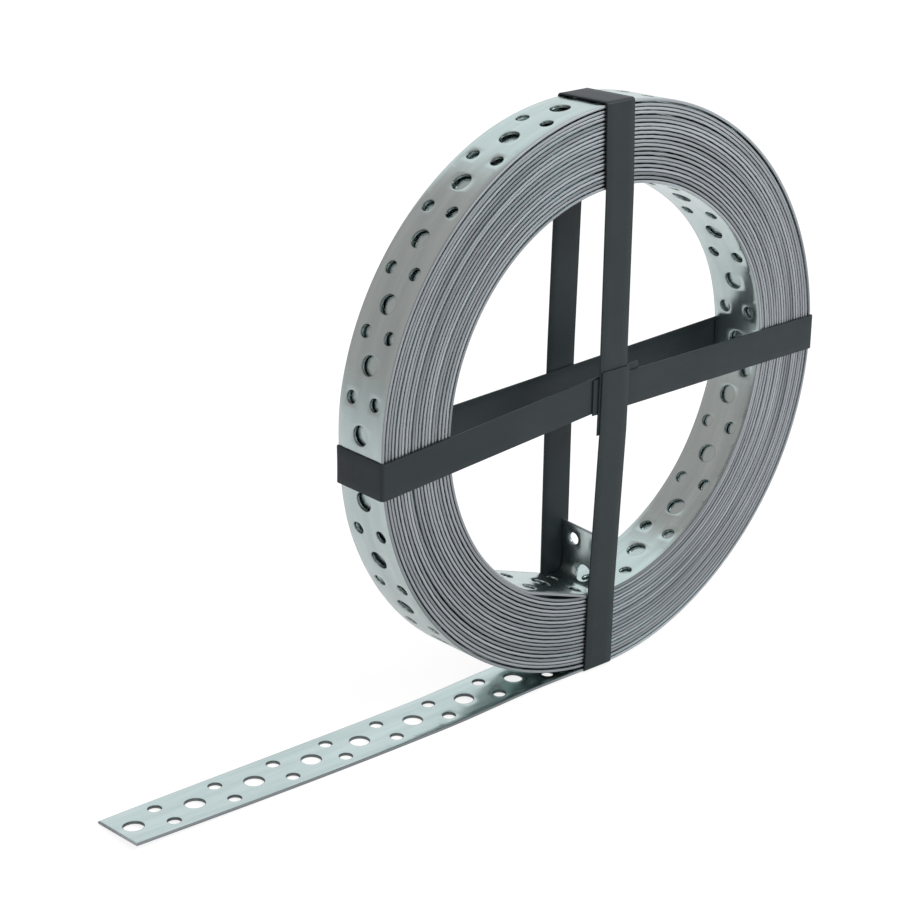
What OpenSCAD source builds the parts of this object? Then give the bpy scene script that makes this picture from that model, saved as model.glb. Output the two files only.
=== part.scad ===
// Coil of perforated stainless steel strip, standing on its rim with its outer end run out along the floor,
// held by two flat plastic straps that cross in front of and behind the bore.
// Frame: +X away from the run-out end, -Y the front face, +Z up; origin on the floor below the coil's centre.

/* [Strip] */
// Width of the strip, across its holes
strip_w = 20; // [15:0.5:30]
// Thickness of the strip
strip_t = 1; // [0.8:0.1:1.5]
// Diameter of the round holes along the middle of the strip
big_hole_d = 6.6; // [4:0.1:7]
// Diameter of the paired holes between them
small_hole_d = 4.5; // [3:0.1:5]
// Distance between the two holes of a pair, across the strip
pair_spacing = 10; // [9:0.5:10.5]
// Distance from one middle hole to the next along the strip
hole_step = 21.14; // [18:0.02:25]
// Shorter distance where one stroke of the punch ends and the next begins
stroke_step = 18.5; // [17:0.1:21]
// Middle holes that one stroke of the punch makes
stroke_holes = 24; // [12:1:30]
// Middle holes left of the first stroke, from the outer end
first_stroke_holes = 4; // [2:1:10]
// From the strip's outer end to the first middle hole
outer_margin = 5.6; // [5:0.1:9]

/* [Coil] */
// Outer radius of the coil where the strip runs onto it
coil_r = 93.6; // [85:0.2:110]
// Whole turns of the coil
turns = 21; // [14:1:21]
// Gap between one turn and the next
turn_gap = 0.26; // [0.2:0.02:0.3]
// Depth to which the gaps between the turns are cut into both ends
groove_depth = 1.2; // [0.6:0.1:3]
// Length of strip that runs out along the floor
tail_len = 182; // [150:1:220]

/* [Inner end] */
// Inside face of the bent-up end, from the middle of the coil
tab_x = 0.3; // [-2:0.1:2]
// Rise of the bent-up end above the lowest point of its own bend
tab_rise = 16.4; // [14:0.2:22]
// Inside radius of the bend
bend_r = 7.5; // [5:0.5:8]
// Gap under the bend to the turn below, in line with the coil's centre
end_lift = 0.7; // [0.6:0.1:1.5]
// Angle before the coil's lowest point at which the last turn leaves the coil
leave_angle = 30; // [24:1:40]
// From the strip's inner end to its first pair of holes
inner_margin = 4.9; // [4:0.1:7]
// Middle holes left of the last stroke of the punch, from the inner end
inner_first_stroke = 4; // [2:1:12]
// Middle holes from there to the next shorter distance
inner_stroke_holes = 12; // [8:1:30]

/* [Straps] */
// Width of the straps
strap_w = 11.6; // [9:0.2:16]
// Thickness of the straps
strap_t = 0.6; // [0.4:0.1:0.9]
// Play between the straps and the coil
strap_play = 0.05; // [0.05:0.05:0.3]
// Middle of the upright strap where it passes under the coil
upright_bottom_x = -3.6; // [-5:0.2:0]
// Middle of the upright strap where it passes over the coil
upright_top_x = -0.8; // [-4:0.2:4]
// Height to which the lower run of the upright strap reaches, above the coil's centre
upright_lap_top = 9.3; // [8:0.1:14]
// Middle of the lower run where it ends
upright_lap_x = -0.8; // [-3:0.1:3]
// Depth to which its upper run reaches, below the coil's centre
upright_lap_bottom = 11.4; // [8:0.2:16]
// Middle of the upper run where it ends
upright_under_x = -1.8; // [-3:0.1:3]
// Middle of the cross strap at the coil's left side, below the coil's centre
across_left_drop = 5.8; // [0:0.2:8]
// Middle of the cross strap at the coil's right side, above the coil's centre
across_right_rise = 1.2; // [0:0.2:8]
// Reach of the cross strap's left run past the middle of the coil
across_lap_right = 10.6; // [8:0.2:16]
// Reach of its right run past the middle of the coil
across_lap_left = 9.2; // [8:0.2:16]
// Slope of the cross strap's left run
across_left_slope = 5.2; // [0:0.1:6]

/* [Hidden] */
$fn = 96;
rad = 180 / PI;

// The turns follow a spiral of quarter circles. Each quarter is one shift smaller in radius than the last,
// and its centre moves by the same shift, so that every turn runs smoothly on into the next.
turn_pitch = strip_t + turn_gap;
shift = turn_pitch / 4;
centres = [[0, 0], [shift, 0], [shift, shift], [0, shift]];
coil_z = strap_t + strap_play + coil_r;
last = 4 * turns - 1;
function quarter_r(k) = coil_r - k * shift;
function mid_r(k) = quarter_r(k) - strip_t / 2;

// How far the coil reaches to each side of its first centre, and the straps' inside faces
coil_top = quarter_r(1);
coil_left = quarter_r(3);
bore_side = quarter_r(last - 3) - strip_t;
strap_front = -strip_w / 2 - strap_play;
strap_right = coil_r + strap_play;
strap_left = coil_left + strap_play;
strap_top = coil_top + strap_play;
// Length of strap that lies square to the rim after each turn, before a run leans away
strap_turn = strap_w / 8;
strap_lap = strap_front - strap_t;

// Middle holes, counted from the outer end. Places along the strip are measured from the coil's lowest point.
function strokes_before(n) = floor((n - first_stroke_holes) / stroke_holes) + 1;
function hole_at(n) = outer_margin + n * hole_step - strokes_before(n) * (hole_step - stroke_step) - tail_len;
function pair_at(n) = (hole_at(n) + hole_at(n + 1)) / 2;
hole_count = ceil((tail_len + 2 * PI * coil_r) / stroke_step);

// Length of strip in the quarters before quarter k, from the coil's lowest point
function outer_start(k) = (k * mid_r(0) - shift * k * (k - 1) / 2) * PI / 2;

// The inner end: the last turn leaves the coil, runs straight, and is bent up inside the bore
below_y = shift - quarter_r(last - 4) + strip_t;
bend_x = tab_x - bend_r;
bend_y = below_y + end_lift + strip_t + bend_r;
tab_top = bend_y - bend_r + tab_rise;
leave_r = quarter_r(last) - strip_t;
leave_x = -leave_r * sin(leave_angle);
leave_y = shift - leave_r * cos(leave_angle);
leave_to_bend = norm([bend_x - leave_x, bend_y - leave_y]);
run_slope = atan2(bend_y - leave_y, bend_x - leave_x) - asin(bend_r / leave_to_bend);
run_len = sqrt(leave_to_bend * leave_to_bend - bend_r * bend_r);
bend_angle = 90 - run_slope;
tab_straight = tab_top - bend_y;
bend_len = (bend_r + strip_t / 2) * bend_angle / rad;
run_start = tab_straight + bend_len;
bore_start = run_start + run_len;
function bore_angle(k) = k == last ? 90 - leave_angle : 90;
function bore_len(k) = mid_r(k) * bore_angle(k) / rad;
function bore_from(k) = k == last ? bore_start : bore_from(k + 1) + bore_len(k + 1);
function inner_strokes_before(n) = floor((n - inner_first_stroke) / inner_stroke_holes) + 1;
function inner_hole_at(n) =
  inner_margin + (n + 1 / 2) * hole_step - inner_strokes_before(n) * (hole_step - stroke_step);
function inner_pair_at(n) = n > 0 ? (inner_hole_at(n - 1) + inner_hole_at(n)) / 2 : inner_margin;
inner_count = ceil((bore_start + 2 * PI * coil_r) / stroke_step);

// A hole's cutter reaches through one turn and stops at the face of the next
clear = turn_gap / 2;
// The straight lengths of the inner end lie a hair inside the faces of its bend, and run a little way into it
hair = 0.005;
joint_lap = 20 * hair;
// Overlap of the inner end with the turn that it leaves
leave_lap = 0.3 * strip_t;

// The strip is drawn as seen from the front, with its first centre at 0, then stood up
// and turned until the end that runs out touches the floor
module stand() {
  translate([0, 0, coil_z])
    rotate([90, 0, 0])
      rotate([0, 0, asin((coil_z - coil_r) / tail_len)])
        children();
}

// A slice through turns from one radius to another, with the gaps outside some turns cut into both ends
module turns_section(outer, inner, gaps) {
  difference() {
    translate([inner, -strip_w / 2])
      square([outer - inner, strip_w]);
    for (gap = gaps, end = [-1, 1])
      translate([gap, end * (strip_w / 2 - groove_depth / 2) - groove_depth / 2])
        square([turn_gap, groove_depth]);
  }
}

module swept_quarter(q, angle) {
  translate(centres[q])
    rotate([0, 0, -90 + 90 * q])
      rotate_extrude(angle = angle, $fn = 360)
        children();
}

module wound_turns() {
  for (q = [0:3]) {
    layers = q == 3 ? turns - 1 : turns;
    swept_quarter(q, 90)
      turns_section(
        quarter_r(q),
        quarter_r(q + 4 * (layers - 1)) - strip_t,
        [for (layer = [1:1:layers - 1]) quarter_r(q + 4 * layer)]
      );
  }
  // The last stretch of the innermost turn, up to where it leaves the coil
  swept_quarter(3, 90 - leave_angle + leave_lap / leave_r * rad)
    turns_section(mid_r(last - 4), quarter_r(last) - strip_t, [quarter_r(last)]);
}

// One round cutter on the local X axis, from one radius to another
module drill(d, from, to, row = 0) {
  translate([from, 0, row])
    rotate([0, 90, 0])
      cylinder(d = d, h = to - from);
}

module drill_set(middle, from, to) {
  if (middle)
    drill(big_hole_d, from, to);
  else
    for (side = [-1, 1])
      drill(small_hole_d, from, to, side * pair_spacing / 2);
}

module outer_turn_holes() {
  for (k = [0:3], n = [0:hole_count], middle = [true, false]) {
    at = middle ? hole_at(n) : pair_at(n);
    if (at >= outer_start(k) && at < outer_start(k + 1))
      translate(centres[k])
        rotate([0, 0, -90 + 90 * k + (at - outer_start(k)) / mid_r(k) * rad])
          drill_set(middle, quarter_r(k) - turn_pitch, quarter_r(k) + clear);
  }
}

module bore_turn_holes() {
  for (k = [last - 3:last], n = [0:inner_count], middle = [true, false]) {
    at = middle ? inner_hole_at(n) : inner_pair_at(n);
    if (at >= bore_from(k) && at < bore_from(k) + bore_len(k))
      translate(centres[k % 4])
        rotate([0, 0, -90 + 90 * (k % 4) + bore_angle(k) - (at - bore_from(k)) / mid_r(k) * rad])
          drill_set(middle, quarter_r(k) - strip_t - clear, quarter_r(k) + turn_gap);
  }
}

module tail() {
  translate([0, -coil_r])
    difference() {
      translate([-tail_len, 0, -strip_w / 2])
        cube([tail_len, strip_t, strip_w]);
      for (n = [0:hole_count], middle = [true, false]) {
        at = middle ? hole_at(n) : pair_at(n);
        if (at < -big_hole_d / 2)
          translate([at, 0])
            rotate([0, 0, 90])
              drill_set(middle, -clear, strip_t + clear);
      }
    }
}

// The bent-up end as seen from the front, with the middle of its bend at 0
module bent_end_outline() {
  reach = 2 * (bend_r + strip_t);
  straight_t = strip_t - 2 * hair;
  translate([bend_r + hair, -joint_lap])
    square([straight_t, joint_lap + tab_straight]);
  difference() {
    circle(r = bend_r + strip_t);
    circle(r = bend_r);
    translate([-reach, 0])
      square(2 * reach);
    rotate([0, 0, -bend_angle])
      translate([-reach, -2 * reach])
        square(2 * reach);
  }
  rotate([0, 0, -bend_angle])
    translate([bend_r + hair, -run_len - leave_lap])
      square([straight_t, leave_lap + run_len + joint_lap]);
}

module bent_end() {
  difference() {
    translate([bend_x, bend_y])
      linear_extrude(height = strip_w, center = true)
        bent_end_outline();
    for (n = [0:inner_count], middle = [true, false]) {
      at = middle ? inner_hole_at(n) : inner_pair_at(n);
      if (at < tab_straight)
        translate([tab_x, tab_top - at])
          drill_set(middle, -clear, strip_t + clear);
      else if (at < run_start)
        translate([bend_x, bend_y])
          rotate([0, 0, -(at - tab_straight) / (bend_r + strip_t / 2) * rad])
            drill_set(middle, bend_r / 2, bend_r + strip_t + clear);
      else if (at < bore_start - small_hole_d)
        translate([leave_x, leave_y])
          rotate([0, 0, run_slope])
            translate([bore_start - at, 0])
              rotate([0, 0, -90])
                drill_set(middle, -clear, strip_t + clear);
    }
  }
}

module perforated_strip() {
  color([0.7, 0.75, 0.75])
    stand() {
      difference() {
        wound_turns();
        outer_turn_holes();
        bore_turn_holes();
      }
      tail();
      bent_end();
    }
}

// The straps are drawn lying along X with their width along Z, and are cut from two views: the section
// seen along their width, and the outline seen from the front, which follows a middle line.
module strap_length(middle_line) {
  across = [0, strap_w / 2];
  ends = [for (i = [len(middle_line) - 1:-1:0]) middle_line[i] - across];
  intersection() {
    linear_extrude(height = 2 * coil_r, center = true)
      children();
    rotate([90, 0, 0])
      linear_extrude(height = 2 * strip_w, center = true)
        polygon(concat([for (point = middle_line) point + across], ends));
  }
}

// Half of the section over a rim at x, and its turn over the rim's front edge
module over_rim(x, side) {
  translate([x, strap_front])
    mirror([side < 0 ? 1 : 0, 0]) {
      square([strap_t, -strap_front]);
      intersection() {
        circle(r = strap_t);
        translate([0, -strap_t])
          square(strap_t);
      }
    }
}

// The section of a run whose inside face follows the points
module run_section(points) {
  outside = [for (i = [len(points) - 1:-1:0]) points[i] - [0, strap_t]];
  polygon(concat(points, outside));
}

module strap_across() {
  left_z = -across_left_drop;
  right_z = across_right_rise;
  left_end = -strap_left - strap_t;
  right_end = strap_right + strap_t;
  end_z = left_z + (strap_left + across_lap_right) * tan(across_left_slope);
  left_start = [[left_end, left_z], [strap_turn - strap_left, left_z]];
  right_start = [[strap_right - strap_turn, right_z], [right_end, right_z]];
  color([0.2, 0.23, 0.25])
    translate([0, 0, coil_z]) {
      strap_length(concat(left_start, [[across_lap_right, end_z]])) {
        over_rim(-strap_left, -1);
        run_section([[-strap_left, strap_front], [across_lap_right, strap_front]]);
      }
      strap_length([[-across_lap_left, right_z], [right_end, right_z]]) {
        over_rim(strap_right, 1);
        run_section([
          [-across_lap_left, strap_lap],
          [across_lap_right, strap_lap],
          [bore_side, strap_front],
          [strap_right, strap_front]
        ]);
      }
      strap_length(concat(left_start, right_start))
        mirror([0, 1]) {
          over_rim(-strap_left, -1);
          run_section([[-strap_left, strap_front], [strap_right, strap_front]]);
          over_rim(strap_right, 1);
        }
    }
}

module strap_upright() {
  over_cross = strap_front - 2 * strap_t;
  bottom_end = -strap_right - strap_t;
  top_end = strap_top + strap_t;
  bottom_start = [[bottom_end, upright_bottom_x], [strap_turn - strap_right, upright_bottom_x]];
  top_start = [[strap_top - strap_turn, upright_top_x], [top_end, upright_top_x]];
  // Drawn along X like the other strap, then stood up by trading X for Z
  color([0.2, 0.23, 0.25])
    translate([0, 0, coil_z])
      mirror([1, 0, -1]) {
        strap_length(concat(bottom_start, [[upright_lap_top, upright_lap_x]])) {
          over_rim(-strap_right, -1);
          run_section([
            [-strap_right, strap_front],
            [-bore_side, strap_front],
            [-upright_lap_bottom, over_cross - strap_t],
            [upright_lap_top, over_cross - strap_t]
          ]);
        }
        strap_length(concat([[-upright_lap_bottom, upright_under_x]], top_start)) {
          over_rim(strap_top, 1);
          run_section([
            [-upright_lap_bottom, over_cross],
            [upright_lap_top, over_cross],
            [bore_side, strap_front],
            [strap_top, strap_front]
          ]);
        }
        strap_length(concat(bottom_start, top_start))
          mirror([0, 1]) {
            over_rim(-strap_right, -1);
            run_section([
              [-strap_right, strap_front],
              [-bore_side, strap_front],
              [-strap_w, strap_lap],
              [strap_w, strap_lap],
              [bore_side, strap_front],
              [strap_top, strap_front]
            ]);
            over_rim(strap_top, 1);
          }
      }
}

perforated_strip();
strap_across();
strap_upright();
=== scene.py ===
import bisect
import math

import bmesh
import bpy
from mathutils import Matrix, Quaternion, Vector, noise


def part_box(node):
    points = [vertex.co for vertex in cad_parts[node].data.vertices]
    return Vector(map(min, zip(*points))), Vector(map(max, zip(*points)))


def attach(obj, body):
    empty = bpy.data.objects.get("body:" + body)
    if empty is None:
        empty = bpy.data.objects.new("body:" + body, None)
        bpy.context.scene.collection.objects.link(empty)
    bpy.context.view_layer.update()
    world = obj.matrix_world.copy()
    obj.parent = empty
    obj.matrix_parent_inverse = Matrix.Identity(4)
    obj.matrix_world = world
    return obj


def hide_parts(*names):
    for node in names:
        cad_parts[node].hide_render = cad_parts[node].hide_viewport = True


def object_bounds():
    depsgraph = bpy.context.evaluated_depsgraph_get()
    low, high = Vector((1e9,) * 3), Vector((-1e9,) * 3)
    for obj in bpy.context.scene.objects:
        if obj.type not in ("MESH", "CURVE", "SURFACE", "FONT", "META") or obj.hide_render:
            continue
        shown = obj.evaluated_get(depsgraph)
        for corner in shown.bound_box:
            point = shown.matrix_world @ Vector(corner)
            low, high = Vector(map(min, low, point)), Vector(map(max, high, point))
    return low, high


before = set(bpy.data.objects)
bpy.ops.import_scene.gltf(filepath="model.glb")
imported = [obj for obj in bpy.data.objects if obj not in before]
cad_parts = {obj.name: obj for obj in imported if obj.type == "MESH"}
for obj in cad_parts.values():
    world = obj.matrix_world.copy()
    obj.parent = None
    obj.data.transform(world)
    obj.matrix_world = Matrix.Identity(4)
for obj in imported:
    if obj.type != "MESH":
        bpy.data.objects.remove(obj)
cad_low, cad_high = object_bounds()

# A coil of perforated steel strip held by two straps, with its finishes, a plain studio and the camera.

MM = 0.001

# ---------------------------------------------------------------- sizes, as in the part's source

strip_low, strip_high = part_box("perforated_strip")
STRIP_W = strip_high.y - strip_low.y
STRIP_T = 1 * MM
BIG_HOLE_D = 6.6 * MM
SMALL_HOLE_D = 4.5 * MM
PAIR_SPACING = 10 * MM
# Middle holes follow each other by a hole step, or by the shorter stroke step where a stroke of the punch
# ends: after the first few holes, and then after each full stroke. The inner end's are counted from that end.
HOLE_STEP = 21.14 * MM
STROKE_STEP = 18.5 * MM
OUTER_MARGIN = 5.6 * MM
FIRST_STROKE_HOLES = 4
STROKE_HOLES = 24
INNER_MARGIN = 4.9 * MM
INNER_FIRST_STROKE = 4
INNER_STROKE_HOLES = 12

COIL_R = strip_high.x
TURNS = 21
TURN_GAP = 0.26 * MM
TAIL_LEN = 182 * MM
# The inner end leaves the last turn this far before the lowest point and runs straight to its bend, a little
# above the turn below; the bent-up end has its left face at TAB_X
LEAVE_ANGLE = math.radians(30)
END_LIFT = 0.7 * MM
BEND_R = 7.5 * MM
TAB_X = 0.3 * MM
TAB_RISE = 16.4 * MM

STRAP_W = 11.6 * MM
STRAP_T = 0.6 * MM
# The air between a strap and the strip under it
STRAP_PLAY = 0.05 * MM
# How far the ends of the upright strap's lap lie above and below the coil's centre, and of the level one's
# to the right and left of it
UPRIGHT_LAP_TOP = 9.3 * MM
UPRIGHT_LAP_BOTTOM = 11.4 * MM
ACROSS_LAP_RIGHT = 10.6 * MM
ACROSS_LAP_LEFT = 9.2 * MM

# ---------------------------------------------------------------- how the real one strays from those

# The middle of the upright strap lies this far right of the coil's centre: at the outer and inner end of its
# lap, at the front and back edge of both rims, and in front where it passes the top of the bore
UPRIGHT_LAP_X = -0.8 * MM
UPRIGHT_UNDER_X = -1.8 * MM
UPRIGHT_BOTTOM_X = -2.6 * MM
UPRIGHT_BOTTOM_BACK_X = -4.1 * MM
UPRIGHT_TOP_X = -0.85 * MM
UPRIGHT_TOP_BACK_X = -1.2 * MM
UPRIGHT_BORE_X = 0 * MM
# The middle of the level strap lies this far above the centre at the front and back edge of both sides, and
# from the left its inner end rises by this slope
ACROSS_LEFT_Z = -5.8 * MM
ACROSS_LEFT_BACK_Z = -5.7 * MM
ACROSS_RIGHT_Z = 1.2 * MM
ACROSS_RIGHT_BACK_Z = 1.7 * MM
ACROSS_LEFT_SLOPE = math.radians(5.2)
# A strap's edges are rounded a little; its middle bends tightly over the rims and gently where it climbs
STRAP_ROUND = 0.14 * MM
STRAP_CORNER_R = 0.85 * MM
STRAP_RAMP_R = 40 * MM

# The middle turns stray from a true spiral in waves, by up to about this much, and never nearer to each other
# than the least gap; the outermost turn stands a little off the next ones
STRAY = 0.26 * MM
STRAY_WAVES = 2.1
STRAY_ACROSS = 0.8
STRAY_EASE = 3
LEAST_GAP = 0.08 * MM
LOOSE_TURN = 0.28 * MM
LOOSE_TURNS_IN = 2.5
# The turns are pressed together at the right: how far in the outside lies, by share of a turn from the lowest
# point, and how far out the bore's side lies, where, and over what share of a turn
STRAP_IN = 0.5 * MM
PRESSED_IN = [(0, 0), (0.125, 0.9 * MM), (0.25, STRAP_IN), (0.375, 0.45 * MM), (0.5, 0), (1, 0)]
BORE_OUT = 1.3 * MM
BORE_OUT_AT = 0.305
BORE_OUT_SPAN = 0.11
# The pressed outer turn takes up this much less strip than a round one by three quarters of the way round
SLIP = 1.5 * MM
# How much further from the inner end a middle hole lies than the steps alone give, by its number
INNER_SPARE = [(0, 0), (2, 0.4 * MM), (11, 2.2 * MM), (16, 4.7 * MM), (19, 5 * MM)]
# The inside of the inner end's bend is tighter than in the part's source, and where that end leaves the last
# turn, it bends softly
TIGHT_BEND_R = 4 * MM
KINK_R = 8 * MM

# The coil leans: its back lies this far to the left of its front, less where the level strap holds it, and
# lower at the top, but not at the left of it
LEAN_LEFT = 0.9 * MM
LEAN_DOWN = 0.7 * MM
LEAN_FROM = 30 * MM
LEAN_HELD = 0.35
LEAN_HELD_SPAN = 25 * MM
LEAN_DOWN_FROM = -40 * MM
# The turns' edges lie unevenly, up to this far behind the coil's faces, in waves round it and from turn to
# turn; the first and last turn stay flush
SETBACK = 0.3 * MM
SETBACK_EASE = 0.3
SETBACK_WAVES = 1.3
SETBACK_ACROSS = 1.7
SIDES_APART = 9

# The run-out end bows down to the floor, with a low hump near the coil, sways to the front, and turns its
# tip's front corner up; the inner end is twisted the other way
BOW_FROM = 9 * MM
BOW_TO = 86 * MM
TIP_LIFT = 0.8 * MM
TAIL_HUMP = 0.8 * MM
TAIL_HUMP_AT = 34 * MM
TAIL_SWAY = 0.7 * MM
SWAY_FROM_COIL = 50 * MM
SWAY_FROM_TIP = 110 * MM
END_TWIST = 0.06
END_TWIST_TURNS = 0.04

# Sheared edges and the mouths of holes are rounded; a hole's mouth has the hole's full size
EDGE_ROUND = 0.42 * MM
HOLE_ROUND = 0.28 * MM

# ---------------------------------------------------------------- how finely the pieces are made

# The strip is punched over these many turns from the outside and from the bore; the rest lies hidden
OUTER_PUNCHED_TURNS = 2.02
INNER_PUNCHED_TURNS = 1.95
# A tile round a hole has this many faces along the strip and across it; plain strip has longer ones
HOLE_SEGMENTS = 6
STRIP_SEGMENTS = 8
PLAIN_SEGMENT = 6 * MM
# The coil's line has this many points a turn, and the strip's whole line one at each station
STATIONS_A_TURN = 600
STATION = 1 * MM
# A strap's line has one at each strap station, and nearer ones in its bends
STRAP_STATION = 2 * MM
STRAP_BEND_STEP = 0.12 * MM
# Points that are nearer to each other than this are one
TINY = 0.01 * MM
# Two faces that are together this level are a flat sheet's face and its side, if they meet at a sharp edge
FACE_AND_SIDE = 0.9
SHARP_EDGE = math.radians(69)
# What is less level than this on the flat strip is a hole's wall, or a side within this depth of the outline
FLAT_ENOUGH = 0.97
SIDE_DEPTH = 0.6 * MM

# ---------------------------------------------------------------- finishes, studio and camera

# How far painted shade darkens the walls of holes to the shade tone: in the coil, in the run-out end, and on
# that end's sides, where the painted shade fades out near the coil
PAINTED_SHADE_TONE = (0.13, 0.145, 0.15, 1)
COIL_HOLE_SHADE = 0.5
RUN_OUT_HOLE_SHADE = 0.9
RUN_OUT_SIDE_SHADE = 0.55
SIDE_SHADE_FADE = 30 * MM
# The range in which most of a noise lies, for clouds and for fine grain
CLOUD_RANGE = (0.32, 0.68)
GRAIN_RANGE = (0.3, 0.7)

# The surround, and the way to its dim left side, the cosines between which that sets in, and its colour
SURROUND = (0.97, 0.99, 1, 1)
DIM_SIDE = (-1, 0, 0.15)
DIM_SPREAD = (-0.05, 0.2)
DIM_COLOUR = (0.50, 0.445, 0.435, 1)
# How bright the floor is in reflections under the coil and far out to the left, and how far out that is
FLOOR_NEAR = 0.88
FLOOR_FAR = 0.56
FLOOR_REACH = -0.5
FLOOR_HALF = 3

# The camera looks down on the coil from the front left, at a point beside the middle of the part's box
CAMERA_AZIMUTH = math.radians(-40.99)
CAMERA_ELEVATION = math.radians(21.35)
CAMERA_ROLL = math.radians(0.53)
CAMERA_AIM = Vector((-0.01439, 0.0006, -0.00689))
CAMERA_DISTANCE = 0.7171
CAMERA_LENS = 95.08

# ---------------------------------------------------------------- what follows from them

turn_pitch = STRIP_T + TURN_GAP
shift = turn_pitch / 4
quarter_centres = [Vector((0, 0)), Vector((shift, 0)), Vector((shift, shift)), Vector((0, shift))]
coil_z = STRAP_T + STRAP_PLAY + COIL_R
tilt = math.asin((coil_z - COIL_R) / TAIL_LEN)
last_quarter = 4 * TURNS - 1
end_turn = TURNS - LEAVE_ANGLE / (2 * math.pi)


def quarter_r(k):
    """Outer radius of quarter k of the spiral, counted from where the strip runs onto the coil."""
    return COIL_R - k * shift


bore_side = quarter_r(last_quarter - 3) - STRIP_T
strap_right = COIL_R - STRAP_IN + STRAP_PLAY
strap_left = quarter_r(3) + STRAP_PLAY
strap_top = quarter_r(1) + STRAP_PLAY


# ---------------------------------------------------------------- paths that a flat piece is wrapped onto


def heading(angle):
    """The way that lies at an angle from the X axis, one unit long."""
    return Vector((math.cos(angle), math.sin(angle)))


def rounded(points, radii, step):
    """Points along a polyline whose corners are rounded, each with its own radius."""
    out = [points[0].copy()]
    for before, corner, after, radius in zip(points, points[1:], points[2:], radii):
        back, on = (before - corner).normalized(), (after - corner).normalized()
        half = back.angle(on) / 2
        middle = corner + (back + on).normalized() * radius / math.sin(half)
        start = corner + back * radius / math.tan(half) - middle
        turn = math.copysign(math.pi - 2 * half, on.cross(back))
        steps = max(3, math.ceil(radius * abs(turn) / step))
        out += [middle + Matrix.Rotation(turn * i / steps, 2) @ start for i in range(steps + 1)]
    out.append(points[-1].copy())
    return out


def eased(share):
    """From 0 to 1 with a soft start and end."""
    share = min(max(share, 0), 1)
    return share * share * (3 - 2 * share)


def between(place, table, soft=False):
    """The value at a place, from a table of places and values, straight or soft between them."""
    for (start, from_value), (end, to_value) in zip(table, table[1:]):
        if place <= end:
            share = max(place - start, 0) / (end - start)
            return from_value + (to_value - from_value) * (eased(share) if soft else share)
    return table[-1][1]


class Path:
    """A line in the X-Z plane with a length along it, onto which flat pieces are wrapped."""

    def __init__(self, points, step):
        self.points, self.along = [points[0]], [0.0]
        for a, b in zip(points, points[1:]):
            gap = (b - a).length
            parts = max(1, round(gap / step))
            for i in range(1, parts + 1):
                self.points.append(a.lerp(b, i / parts))
                self.along.append(self.along[-1] + gap / parts)
        self.sides = []
        for i in range(len(self.points)):
            ahead = self.points[min(i + 1, len(self.points) - 1)]
            along = (ahead - self.points[max(i - 1, 0)]).normalized()
            self.sides.append(Vector((along.y, -along.x)))

    @property
    def length(self):
        return self.along[-1]

    def at(self, s):
        """The point at a length along the path, and the way square to it, on the outside of the coil."""
        i = min(max(bisect.bisect_right(self.along, s) - 1, 0), len(self.points) - 2)
        share = (s - self.along[i]) / (self.along[i + 1] - self.along[i])
        side = self.sides[i].lerp(self.sides[i + 1], min(max(share, 0), 1))
        return self.points[i].lerp(self.points[i + 1], share), side.normalized()


def pressed(turn):
    """How far out a place on the coil is pressed: the outer turns inwards, the inner ones outwards."""
    depth = min(max((turn - 1) / (TURNS - 2), 0), 1)
    around = turn % 1
    out = BORE_OUT * (1 - eased(abs(around - BORE_OUT_AT) / BORE_OUT_SPAN))
    return out * depth - between(around, PRESSED_IN, True) * (1 - depth)


def stray_at(turn):
    """How far outside a true spiral a place on the coil would lie."""
    ease = min(turn - 1, TURNS - 1 - turn, STRAY_EASE) / STRAY_EASE
    around = heading(2 * math.pi * turn) * STRAY_WAVES
    wavy = STRAY * max(ease, 0) * noise.noise(Vector((around.x, around.y, turn * STRAY_ACROSS)))
    loose = LOOSE_TURN * eased((turn - 1) * 4) * (1 - eased((turn - 1) / LOOSE_TURNS_IN))
    return wavy - loose + pressed(turn)


def coil_points():
    """The middle of the strip's thickness along the coil, from its lowest point to the last turn's end."""
    around = STATIONS_A_TURN
    strays, points = [], []
    for i in range(round(end_turn * around) + 1):
        stray = stray_at(i / around)
        if i >= around:
            stray = min(stray, strays[i - around] + TURN_GAP - LEAST_GAP)
        strays.append(stray)
        k = min(4 * i // around, last_quarter)
        out = heading(2 * math.pi * i / around - math.pi / 2)
        points.append(quarter_centres[k % 4] + out * (quarter_r(k) - STRIP_T / 2 + stray))
    return points


def strip_points():
    """The strip's middle line in three lengths: the run-out end, the coil and the bent-up inner end."""
    tail = [Vector((-TAIL_LEN, STRIP_T / 2 - COIL_R)), Vector((0, STRIP_T / 2 - COIL_R))]
    coil = coil_points()[1:]

    inner_r = quarter_r(last_quarter) - STRIP_T
    leave = quarter_centres[3] - inner_r * Vector((math.sin(LEAVE_ANGLE), math.cos(LEAVE_ANGLE)))
    below = shift - quarter_r(last_quarter - 4) + STRIP_T
    bend = Vector((TAB_X - BEND_R, below + END_LIFT + STRIP_T + BEND_R))
    to_bend = bend - leave
    slope = math.atan2(to_bend.y, to_bend.x) - math.asin(BEND_R / to_bend.length)
    # The middle lines of the straight run and of the bent-up end meet at a corner, which the bend rounds off
    run_from = leave + heading(slope - math.pi / 2) * STRIP_T / 2
    tab_x = TAB_X + STRIP_T / 2
    corner = run_from + heading(slope) * (tab_x - run_from.x) / math.cos(slope)
    top = Vector((tab_x, bend.y - BEND_R + TAB_RISE))

    while (coil[-1] - run_from).length < KINK_R / 2:
        coil.pop()
    end = rounded([coil[-1], run_from, corner, top], [KINK_R, TIGHT_BEND_R + STRIP_T / 2], STATION / 2)
    return tail, coil, end[1:]


# ---------------------------------------------------------------- the flat, punched strip


def strokes_before(n, first_holes, holes):
    """How many strokes of the punch end before middle hole n, if the first of them has fewer holes."""
    return (n - first_holes) // holes + 1


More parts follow.
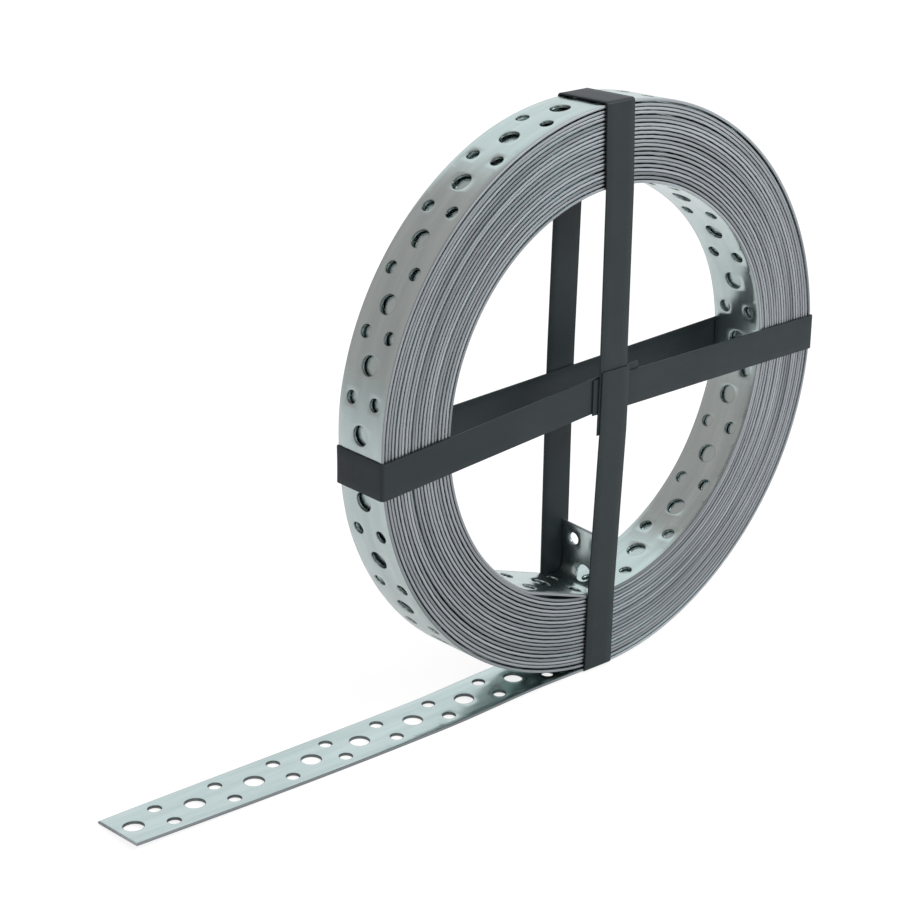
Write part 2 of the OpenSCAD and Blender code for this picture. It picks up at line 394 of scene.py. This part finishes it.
def hole_at(n):
    """Length from the strip's outer end to its middle hole n."""
    strokes = strokes_before(n, FIRST_STROKE_HOLES, STROKE_HOLES)
    return OUTER_MARGIN + n * HOLE_STEP - strokes * (HOLE_STEP - STROKE_STEP)


def outer_rows(length):
    """The places of middle holes and of pairs, in turn, along the strip's outer stretch."""
    rows, n = [], 0
    while hole_at(n) < length:
        rows += [(hole_at(n), True), ((hole_at(n) + hole_at(n + 1)) / 2, False)]
        n += 1
    slip_len = 1.5 * math.pi * COIL_R
    return [(place - SLIP * eased((place - TAIL_LEN) / slip_len), is_middle) for place, is_middle in rows]


def inner_hole_at(n):
    """Length from the strip's inner end to middle hole n, counted from that end."""
    strokes = strokes_before(n, INNER_FIRST_STROKE, INNER_STROKE_HOLES)
    steps = (n + 0.5) * HOLE_STEP - strokes * (HOLE_STEP - STROKE_STEP)
    return INNER_MARGIN + steps + between(n, INNER_SPARE)


def inner_rows(total, length):
    """The same along its inner stretch, which ends with a pair."""
    rows, n = [(total - INNER_MARGIN, False)], 0
    while inner_hole_at(n) < length:
        pair_at = (inner_hole_at(n) + inner_hole_at(n + 1)) / 2
        rows += [(total - inner_hole_at(n), True), (total - pair_at, False)]
        n += 1
    return rows[::-1]


def tile_borders(rows, start, end):
    """Where one row's share of the strip ends and the next begins."""
    middles = [(a[0] + b[0]) / 2 for a, b in zip(rows, rows[1:])]
    return [start] + middles + [end]


def laid(low, high):
    """Lays a square with sides of 1 onto the rectangle between two corners."""
    size, middle = high - low, (low + high) / 2
    return Matrix.Translation((middle.x, middle.y, 0)) @ Matrix.Diagonal((size.x, size.y, 1, 1))


def punched_tile(bm, low, high, centre, diameter):
    """A flat rectangle of strip round one hole: rings of faces from the hole's rim to its sides."""
    across = max(2, round(STRIP_SEGMENTS * (high.y - low.y) / STRIP_W))
    grid = bmesh.ops.create_grid(bm, x_segments=HOLE_SEGMENTS, y_segments=across, size=0.5)["verts"]
    inner = [v for v in grid if not v.is_boundary]
    border = [v for v in grid if v.is_boundary]
    bmesh.ops.delete(bm, geom=inner, context="VERTS")
    bmesh.ops.transform(bm, matrix=laid(low, high), verts=border)
    place = Matrix.Translation((centre.x, centre.y, 0))
    rim = bmesh.ops.create_circle(bm, segments=len(border), radius=diameter / 2, matrix=place)["verts"]
    # A dictionary holds each edge once and in a fixed order
    loops = list(dict.fromkeys(e for v in border + rim for e in v.link_edges))
    made = bmesh.ops.bridge_loops(bm, edges=loops)
    rings = 2 if across > STRIP_SEGMENTS / 2 else 1
    bmesh.ops.subdivide_edges(bm, edges=made["edges"], cuts=rings, use_grid_fill=True)


def punched_stretch(bm, rows, start, end):
    """Tiles side by side: one across the strip for a middle hole, two for a pair."""
    borders = tile_borders(rows, start, end)
    half, aside = STRIP_W / 2, PAIR_SPACING / 2
    middle_tile = [(-half, half, 0, BIG_HOLE_D)]
    pair_tiles = [(-half, 0, -aside, SMALL_HOLE_D), (0, half, aside, SMALL_HOLE_D)]
    for (place, is_middle), start_x, end_x in zip(rows, borders, borders[1:]):
        for front, back, y, diameter in middle_tile if is_middle else pair_tiles:
            low, high, centre = Vector((start_x, front)), Vector((end_x, back)), Vector((place, y))
            punched_tile(bm, low, high, centre, diameter - 2 * HOLE_ROUND)


def plain_stretch(bm, start, end):
    """The strip between the two punched stretches, which lies hidden inside the coil but for its edges."""
    count = round((end - start) / PLAIN_SEGMENT)
    step = (end - start) / count
    grid = bmesh.ops.create_grid(bm, x_segments=count - 2, y_segments=1, size=0.5)["verts"]
    low, high = Vector((start + step, -STRIP_W / 2)), Vector((end - step, STRIP_W / 2))
    bmesh.ops.transform(bm, matrix=laid(low, high), verts=grid)
    bmesh.ops.remove_doubles(bm, verts=bm.verts, dist=TINY)
    # A face at each end joins its two corners to the whole row of points along the last tile
    for border, inside in ((start, low.x), (end, high.x)):
        column = sorted((v for v in bm.verts if abs(v.co.x - border) < 2 * TINY), key=lambda v: v.co.y)
        facing = sorted((v for v in bm.verts if abs(v.co.x - inside) < 2 * TINY), key=lambda v: -v.co.y)
        bm.faces.new(column + facing)


def thicken(bm, thickness):
    """Gives a flat sheet its thickness, half to each side."""
    bmesh.ops.translate(bm, vec=(0, 0, thickness / 2), verts=bm.verts)
    made = bmesh.ops.extrude_face_region(bm, geom=bm.faces[:])
    below = [v for v in made["geom"] if isinstance(v, bmesh.types.BMVert)]
    bmesh.ops.translate(bm, vec=(0, 0, -thickness), verts=below)
    bmesh.ops.recalc_face_normals(bm, faces=bm.faces)


def round_edges(bm, edges, radius):
    """Rounds the edges at which a sheet's faces meet its sides."""
    bmesh.ops.bevel(
        bm, geom=edges, offset=radius, offset_type="OFFSET", segments=2,
        profile=0.5, affect="EDGES", material=-1, clamp_overlap=True,
    )


def sheet_edges(bm):
    """The edges at which a thickened sheet's faces meet its sides."""
    def meets_side(edge):
        level = sum(abs(face.normal.z) for face in edge.link_faces)
        return level > FACE_AND_SIDE and edge.calc_face_angle(0) > SHARP_EDGE

    return [e for e in bm.edges if len(e.link_faces) == 2 and meets_side(e)]


def mark_flat(bm):
    """Keeps each point's place on the flat strip as its UV map, and the kind of each face as attributes.

    Sheared sides and ends are "cut". The walls of holes carry painted shade, most of all in the run-out end,
    whose sides carry painted shade too, fading out near the coil.
    """
    flat = bm.loops.layers.uv.new("flat")
    cut, painted_shade = bm.faces.layers.float.new("cut"), bm.faces.layers.float.new("painted_shade")
    half = max(v.co.y for v in bm.verts) - SIDE_DEPTH
    first, last = min(v.co.x for v in bm.verts) + SIDE_DEPTH, max(v.co.x for v in bm.verts) - SIDE_DEPTH
    for face in bm.faces:
        x, y, _ = face.calc_center_median()
        steep = abs(face.normal.z) < FLAT_ENOUGH
        side = abs(y) > half or not first < x < last
        face[cut] = 1.0 if steep and side else 0.0
        # Painted shade: the walls of holes, and the run-out end's sides away from the coil, get a share of
        # darkening
        if not steep:
            face[painted_shade] = 0.0
        elif side:
            face[painted_shade] = RUN_OUT_SIDE_SHADE * eased((TAIL_LEN - x) / SIDE_SHADE_FADE) if x > first else 0.0
        else:
            face[painted_shade] = RUN_OUT_HOLE_SHADE if x < TAIL_LEN else COIL_HOLE_SHADE
        for loop in face.loops:
            loop[flat].uv = (loop.vert.co.x, loop.vert.co.y + loop.vert.co.z)


def add_object(name, data):
    """Puts a new object into the scene."""
    made = bpy.data.objects.new(name, data)
    bpy.context.scene.collection.objects.link(made)
    return made


def mesh_of(bm, name):
    """Turns finished modelling into a mesh."""
    mesh = bpy.data.meshes.new(name)
    bm.to_mesh(mesh)
    bm.free()
    return mesh


def finish_piece(bm, name, node, material, smooth_angle):
    """Makes the object of a modelled piece and hands it to the frame."""
    mesh = mesh_of(bm, name)
    mesh.shade_smooth()
    mesh.set_sharp_from_angle(angle=math.radians(smooth_angle))
    mesh.materials.append(material)
    piece = add_object(name, mesh)
    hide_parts(node)
    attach(piece, "root")
    return piece


def setback(turn, side):
    """How far the strip's edge lies back from the coil's front (side -1) or back (side 1) face."""
    inside = min(max((turn - 1) / SETBACK_EASE, 0), 1)
    around = heading(2 * math.pi * turn) * SETBACK_WAVES
    value = noise.noise(Vector((around.x + SIDES_APART * side, around.y, turn * SETBACK_ACROSS)))
    return SETBACK * inside * min(max(0.5 + value, 0), 1)


def tail_rise(reach, y):
    """How far the run-out end lies above a straight one, at a distance from the coil's lowest point."""
    drop = coil_z - COIL_R
    straight = drop * (1 - reach / TAIL_LEN)
    hump = TAIL_HUMP * (1 - eased(abs(reach - TAIL_HUMP_AT) / TAIL_HUMP_AT))
    if reach < BOW_FROM:
        return hump
    if reach < BOW_TO:
        bow = drop * (1 - BOW_FROM / TAIL_LEN) * ((BOW_TO - reach) / (BOW_TO - BOW_FROM)) ** 2
        return hump + bow - straight
    lift = TIP_LIFT * ((reach - BOW_TO) / (TAIL_LEN - BOW_TO)) ** 2
    return lift * (1 - 2 * y / STRIP_W) - straight


def tail_sway(reach):
    """How far the run-out end swings out to the front between the coil and its tip."""
    return -TAIL_SWAY * eased(reach / SWAY_FROM_COIL) * eased((TAIL_LEN - reach) / SWAY_FROM_TIP)


def lean(point, sideways):
    """Moves a point with the leaning coil: down at the top, and if asked to, to the left, both behind."""
    behind = min(max(point.y / STRIP_W + 0.5, 0), 1)
    down = LEAN_DOWN * behind * eased((point.z - coil_z) / COIL_R) * eased(1 - point.x / LEAN_DOWN_FROM)
    if sideways:
        held = eased(abs(point.z - coil_z - ACROSS_LEFT_Z) / LEAN_HELD_SPAN)
        point.x -= LEAN_LEFT * behind * eased(point.z / LEAN_FROM) * (LEAN_HELD + (1 - LEAN_HELD) * held)
    point.z -= down
    return point


def stand(point, y):
    """From the front view of the coil, with its first centre at 0, to its place on the floor."""
    turned = Matrix.Rotation(tilt, 2) @ point
    return Vector((turned.x, y, turned.y + coil_z))


def flat_strip(length):
    """The whole strip lying flat along X, with holes where it shows, with its edges rounded."""
    outer = outer_rows(TAIL_LEN + 2 * math.pi * COIL_R * OUTER_PUNCHED_TURNS)
    inner = inner_rows(length, 2 * math.pi * bore_side * INNER_PUNCHED_TURNS)
    plain_from = outer[-1][0] + HOLE_STEP / 4
    plain_to = inner[0][0] - HOLE_STEP / 4

    bm = bmesh.new()
    punched_stretch(bm, outer, 0, plain_from)
    punched_stretch(bm, inner, plain_to, length)
    plain_stretch(bm, plain_from, plain_to)
    thicken(bm, STRIP_T)

    def at_outline(point):
        return abs(point.y) > STRIP_W / 2 - TINY or not TINY < point.x < length - TINY

    def on_outline(edge):
        return all(at_outline(v.co) for v in edge.verts)

    round_edges(bm, [e for e in sheet_edges(bm) if not on_outline(e)], HOLE_ROUND)
    round_edges(bm, [e for e in sheet_edges(bm) if on_outline(e)], EDGE_ROUND)
    mark_flat(bm)
    return bm


def coiled_strip(material):
    """The whole length of strip: made flat, then wound."""
    tail, coil, end = strip_points()
    path = Path(tail + coil + end, STATION)
    coil_len = sum((b - a).length for a, b in zip(coil, coil[1:]))
    bm = flat_strip(path.length)
    for v in bm.verts:
        s, w, h = v.co
        middle, side = path.at(s)
        turn = (s - TAIL_LEN) / coil_len * TURNS
        back = setback(turn, math.copysign(1, w)) if 1 < turn < TURNS - 1 else 0
        v.co = stand(middle + side * h, w * (1 - back * 2 / STRIP_W))
        if s < TAIL_LEN:
            v.co.z += tail_rise(-v.co.x, v.co.y)
            v.co.y += tail_sway(-v.co.x)
        v.co.z += END_TWIST * w * min(max((turn - end_turn) / END_TWIST_TURNS, 0), 1)
        v.co = lean(v.co, True)
    return finish_piece(bm, "coiled_strip", "perforated_strip", material, smooth_angle=35)


# ---------------------------------------------------------------- the straps


def strap_sheet(stations):
    """A flat length of strap along X, with a row of points across it at each station."""
    bm = bmesh.new()
    count = len(stations) - 1
    grid = bmesh.ops.create_grid(bm, x_segments=count, y_segments=4, size=0.5)["verts"]
    for v in grid:
        v.co = (stations[round((v.co.x + 0.5) * count)], v.co.y * STRAP_W, 0)
    return bm


def strap_band(corners, radii, aside, upright, name, node, material):
    """A strap bent along a polyline of (along the run, depth), while its middle moves aside as it goes."""
    path = Path(rounded(corners, radii, STRAP_BEND_STEP), STRAP_STATION)
    bm = strap_sheet(path.along)
    thicken(bm, STRAP_T)
    round_edges(bm, sheet_edges(bm), STRAP_ROUND)
    for v in bm.verts:
        s, w, h = v.co
        middle, side = path.at(s)
        point = middle + side * h
        across = w + between(s, aside)
        place = (across, point.y, point.x + coil_z) if upright else (point.x, point.y, across + coil_z)
        v.co = lean(Vector(place), not upright)
    bmesh.ops.recalc_face_normals(bm, faces=bm.faces)
    return finish_piece(bm, name, node, material, smooth_angle=40)


def strap_run(low, high, front_start, first_rim, back, second_rim, front_end):
    """Corners, their radii and moves aside of a strap's middle line, from its outer end to its inner one.

    The runs in front and behind list (along, layer) or (along, layer, aside): layer 0 lies on the coil, and
    each further one on the strap below it. A rim lists its move aside at the side where the strap comes and
    where it leaves. Where no move is given, the strap runs straight on.
    """
    def depth(layer):
        return STRIP_W / 2 + STRAP_PLAY + (layer + 0.5) * STRAP_T

    first, second = (high, low) if front_start[-1][0] > front_start[0][0] else (low, high)
    outside = math.copysign(STRAP_T / 2, first - second)
    stops = [(x, -depth(layer), *aside) for x, layer, *aside in front_start]
    stops += [(first + outside, -depth(0), first_rim[0]), (first + outside, depth(0), first_rim[1])]
    stops += [(x, depth(layer), *aside) for x, layer, *aside in back]
    stops += [(second - outside, depth(0), second_rim[0]), (second - outside, -depth(0), second_rim[1])]
    stops += [(x, -depth(layer), *aside) for x, layer, *aside in front_end]
    corners = [Vector(stop[:2]) for stop in stops]
    rim, ramp = [STRAP_CORNER_R] * 2, [STRAP_RAMP_R]
    radii = ramp * (len(front_start) - 1) + rim + ramp * len(back) + rim + ramp * (len(front_end) - 1)

    length, moves = 0, []
    for i, stop in enumerate(stops):
        length += (corners[i] - corners[i - 1]).length if i else 0
        if len(stop) > 2:
            moves.append((length, stop[2]))
    return corners, radii, moves


def cross_strap(material):
    """The level strap: its ends are lapped in front, the right-hand one on top."""
    inner_end_z = ACROSS_LEFT_Z + (strap_left + ACROSS_LAP_RIGHT) * math.tan(ACROSS_LEFT_SLOPE)
    run = strap_run(
        -strap_left, strap_right,
        [(-ACROSS_LAP_LEFT, 1, ACROSS_RIGHT_Z), (ACROSS_LAP_RIGHT, 1), (bore_side, 0)],
        (ACROSS_RIGHT_Z, ACROSS_RIGHT_BACK_Z), [], (ACROSS_LEFT_BACK_Z, ACROSS_LEFT_Z),
        [(ACROSS_LAP_RIGHT, 0, inner_end_z)],
    )
    return strap_band(*run, False, "cross_strap", "strap_across", material)


def upright_strap(material):
    """The upright strap: it passes over the level one in front and behind, and its lower end is on top."""
    run = strap_run(
        -strap_right, strap_top,
        [(UPRIGHT_LAP_TOP, 3, UPRIGHT_LAP_X), (-UPRIGHT_LAP_BOTTOM, 3), (-bore_side, 0)],
        (UPRIGHT_BOTTOM_X, UPRIGHT_BOTTOM_BACK_X),
        [(-bore_side, 0), (-STRAP_W, 1), (STRAP_W, 1), (bore_side, 0)],
        (UPRIGHT_TOP_BACK_X, UPRIGHT_TOP_X),
        [(bore_side, 0, UPRIGHT_BORE_X), (UPRIGHT_LAP_TOP, 2), (-UPRIGHT_LAP_BOTTOM, 2, UPRIGHT_UNDER_X)],
    )
    return strap_band(*run, True, "upright_strap", "strap_upright", material)


# ---------------------------------------------------------------- materials


def node(tree, kind, **values):
    """A new node, with its settings and its inputs' values."""
    made = tree.nodes.new(kind)
    for key, value in values.items():
        if hasattr(made, key):
            setattr(made, key, value)
        else:
            made.inputs[key].default_value = value
    return made


def new_material(name):
    """A material with its node tree and its Principled shader."""
    material = bpy.data.materials.new(name)
    material.use_nodes = True
    tree = material.node_tree
    return material, tree, tree.nodes["Principled BSDF"]


def grain_group():
    """Clouds of tone and a fine grain for any surface, on its own place, scales and tones."""
    tree = bpy.data.node_groups.new("cloudy_grain", "ShaderNodeTree")
    scales = ("Cloud Scale", "Float"), ("Grain Scale", "Float")
    tones = ("Dark", "Color"), ("Light", "Color")
    for name, kind in (("Place", "Vector"), *scales, *tones):
        tree.interface.new_socket(name=name, in_out="INPUT", socket_type="NodeSocket" + kind)
    for name, kind in (("Tone", "Color"), ("Grain", "Float")):
        tree.interface.new_socket(name=name, in_out="OUTPUT", socket_type="NodeSocket" + kind)
    given = tree.nodes.new("NodeGroupInput").outputs
    result = tree.nodes.new("NodeGroupOutput").inputs
    noises = []
    for detail, scale in ((4.0, "Cloud Scale"), (3.0, "Grain Scale")):
        texture = node(tree, "ShaderNodeTexNoise", Detail=detail, Roughness=0.6)
        tree.links.new(given["Place"], texture.inputs["Vector"])
        tree.links.new(given[scale], texture.inputs["Scale"])
        noises.append(texture.outputs["Fac"])
    clouds, grain = noises
    share = ranged(tree, clouds, CLOUD_RANGE, (0, 1))
    tree.links.new(mixed(tree, "RGBA", share, given["Dark"], given["Light"]), result["Tone"])
    tree.links.new(grain, result["Grain"])
    return tree


def grained(tree, group, place, spread, **values):
    """Places the grain in a material, on coordinates that are stretched first."""
    stretch = tree.nodes.new("ShaderNodeMapping")
    stretch.inputs["Scale"].default_value = spread
    made = tree.nodes.new("ShaderNodeGroup")
    made.node_tree = group
    tree.links.new(place, stretch.inputs["Vector"])
    tree.links.new(stretch.outputs["Vector"], made.inputs["Place"])
    for key, value in values.items():
        made.inputs[key.replace("_", " ")].default_value = value
    return made.outputs["Tone"], made.outputs["Grain"]


def mixed(tree, kind, share, a, b):
    """Mixes two colours or two numbers by a mask."""
    mix = node(tree, "ShaderNodeMix", data_type=kind)
    first, out = (6, 2) if kind == "RGBA" else (2, 0)
    tree.links.new(share, mix.inputs[0])
    for value, socket in ((a, mix.inputs[first]), (b, mix.inputs[first + 1])):
        if isinstance(value, bpy.types.NodeSocket):
            tree.links.new(value, socket)
        else:
            socket.default_value = value
    return mix.outputs[out]


def ranged(tree, value, limits, new_limits):
    """Turns one range of values into another."""
    names = ("From Min", "From Max", "To Min", "To Max")
    change = node(tree, "ShaderNodeMapRange", **dict(zip(names, (*limits, *new_limits))))
    tree.links.new(value, change.inputs["Value"])
    return change.outputs["Result"]


def bumped(tree, shader, height, strength, distance):
    """Gives a shader a fine relief."""
    bump = node(tree, "ShaderNodeBump", Strength=strength, Distance=distance)
    tree.links.new(height, bump.inputs["Height"])
    tree.links.new(bump.outputs["Normal"], shader.inputs["Normal"])


def steel_material(group):
    """Bright cold-rolled steel: streaks along the strip, cloudy tones, duller sheared sides, painted shade in
    its holes.
    """
    material, tree, shader = new_material("rolled_steel")
    place = node(tree, "ShaderNodeUVMap", uv_map="flat").outputs["UV"]
    cut = node(tree, "ShaderNodeAttribute", attribute_name="cut").outputs["Fac"]
    painted_shade = node(tree, "ShaderNodeAttribute", attribute_name="painted_shade").outputs["Fac"]

    face, streaks = grained(
        tree, group, place, (1, 12, 1), Cloud_Scale=16.0, Grain_Scale=150.0,
        Dark=(0.475, 0.57, 0.565, 1), Light=(0.58, 0.685, 0.68, 1),
    )
    sheared, nicks = grained(
        tree, group, place, (1, 3, 1), Cloud_Scale=7.0, Grain_Scale=900.0,
        Dark=(0.205, 0.222, 0.238, 1), Light=(0.445, 0.478, 0.505, 1),
    )
    tone = mixed(tree, "RGBA", cut, face, sheared)
    # Painted shade: hole walls and the run-out end's sides are mixed towards a dark shade tone
    tree.links.new(mixed(tree, "RGBA", painted_shade, tone, PAINTED_SHADE_TONE), shader.inputs["Base Color"])
    shader.inputs["Metallic"].default_value = 1

    rolled_rough = ranged(tree, streaks, GRAIN_RANGE, (0.2, 0.27))
    sheared_rough = ranged(tree, nicks, GRAIN_RANGE, (0.36, 0.48))
    tree.links.new(mixed(tree, "FLOAT", cut, rolled_rough, sheared_rough), shader.inputs["Roughness"])
    bumped(tree, shader, mixed(tree, "FLOAT", cut, streaks, nicks), 0.2, 0.02 * MM)
    return material


def strap_material(group):
    """Dark slate plastic strapping, faintly clouded and grained."""
    material, tree, shader = new_material("strap_plastic")
    place = node(tree, "ShaderNodeTexCoord").outputs["Object"]
    tone, grain = grained(
        tree, group, place, (1, 1, 1), Cloud_Scale=60.0, Grain_Scale=2400.0,
        Dark=(0.0165, 0.0255, 0.0290, 1), Light=(0.0220, 0.0320, 0.0365, 1),
    )
    tree.links.new(tone, shader.inputs["Base Color"])
    tree.links.new(ranged(tree, grain, GRAIN_RANGE, (0.42, 0.55)), shader.inputs["Roughness"])
    shader.inputs["Specular IOR Level"].default_value = 0.27
    bumped(tree, shader, grain, 0.12, 0.03 * MM)
    return material


# ---------------------------------------------------------------- studio and camera


def grey(level):
    """A plain grey, from black at 0 to white at 1."""
    return (level, level, level, 1)


def white_world():
    """A white surround. What is lit or mirrored sees a dim, warm side to the left behind the coil."""
    world = bpy.data.worlds.new("studio")
    bpy.context.scene.world = world
    world.use_nodes = True
    tree = world.node_tree
    way = node(tree, "ShaderNodeTexCoord").outputs["Generated"]
    towards = node(tree, "ShaderNodeVectorMath", operation="DOT_PRODUCT")
    towards.inputs[1].default_value = Vector(DIM_SIDE).normalized()
    tree.links.new(way, towards.inputs[0])
    dim = ranged(tree, towards.outputs["Value"], DIM_SPREAD, (0, 1))
    around = mixed(tree, "RGBA", dim, SURROUND, DIM_COLOUR)
    rays = node(tree, "ShaderNodeLightPath")
    seen = mixed(tree, "RGBA", rays.outputs["Is Camera Ray"], around, grey(1))
    tree.links.new(seen, tree.nodes["Background"].inputs["Color"])
    tree.nodes["Background"].inputs["Strength"].default_value = 1


def white_floor():
    """A white floor that glows where the camera or a reflection looks at it, and keeps a faint shadow."""
    bm = bmesh.new()
    bmesh.ops.create_grid(bm, x_segments=8, y_segments=8, size=FLOOR_HALF)
    floor = add_object("floor", mesh_of(bm, "floor"))
    material, tree, shader = new_material("white_floor")
    along = node(tree, "ShaderNodeSeparateXYZ")
    tree.links.new(node(tree, "ShaderNodeTexCoord").outputs["Object"], along.inputs[0])
    mirrored = ranged(tree, along.outputs["X"], (FLOOR_REACH, -COIL_R), (FLOOR_FAR, FLOOR_NEAR))
    rays = node(tree, "ShaderNodeLightPath").outputs
    lit = mixed(tree, "RGBA", rays["Is Glossy Ray"], grey(0.8), mirrored)
    base = mixed(tree, "RGBA", rays["Is Camera Ray"], lit, grey(0.28))
    glow = mixed(tree, "RGBA", rays["Is Glossy Ray"], grey(0), grey(0.12))
    seen = mixed(tree, "RGBA", rays["Is Camera Ray"], glow, grey(0.82))
    tree.links.new(base, shader.inputs["Base Color"])
    tree.links.new(seen, shader.inputs["Emission Color"])
    shader.inputs["Emission Strength"].default_value = 1
    shader.inputs["Roughness"].default_value = 1
    shader.inputs["Specular IOR Level"].default_value = 0
    floor.data.materials.append(material)


def look(thing, place, way, roll=0):
    """Sets a lamp or the camera at a place, turned to look a given way."""
    thing.location = place
    thing.rotation_mode = "QUATERNION"
    thing.rotation_quaternion = way.to_track_quat("-Z", "Y") @ Quaternion((0, 0, 1), roll)


def area_light(name, place, aim, size, power):
    """A square lamp at a place, turned to a point."""
    data = bpy.data.lights.new(name, "AREA")
    data.size, data.energy = size, power
    look(add_object(name, data), place, aim - place)


def camera(box_middle):
    """The camera, at its distance from the point that it looks at."""
    data = bpy.data.cameras.new("camera")
    data.sensor_width, data.lens = 36, CAMERA_LENS
    data.clip_start, data.clip_end = 0.01, 20
    level = Vector((math.sin(CAMERA_AZIMUTH), -math.cos(CAMERA_AZIMUTH), 0))
    back = level * math.cos(CAMERA_ELEVATION) + Vector((0, 0, math.sin(CAMERA_ELEVATION)))
    eye = add_object("camera", data)
    look(eye, box_middle + CAMERA_AIM + back * CAMERA_DISTANCE, -back, CAMERA_ROLL)
    bpy.context.scene.camera = eye


# ---------------------------------------------------------------- the making

bpy.context.scene.view_settings.view_transform = "Standard"
box_middle = (cad_low + cad_high) / 2
camera(box_middle)
white_world()
white_floor()
area_light("key", Vector((0.7, -0.8, 1.0)), aim=box_middle, size=0.6, power=7)
area_light("fill", Vector((-0.9, -0.6, 0.6)), aim=box_middle, size=0.9, power=2)

grain = grain_group()
steel, plastic = steel_material(grain), strap_material(grain)
coiled_strip(steel)
cross_strap(plastic)
upright_strap(plastic)
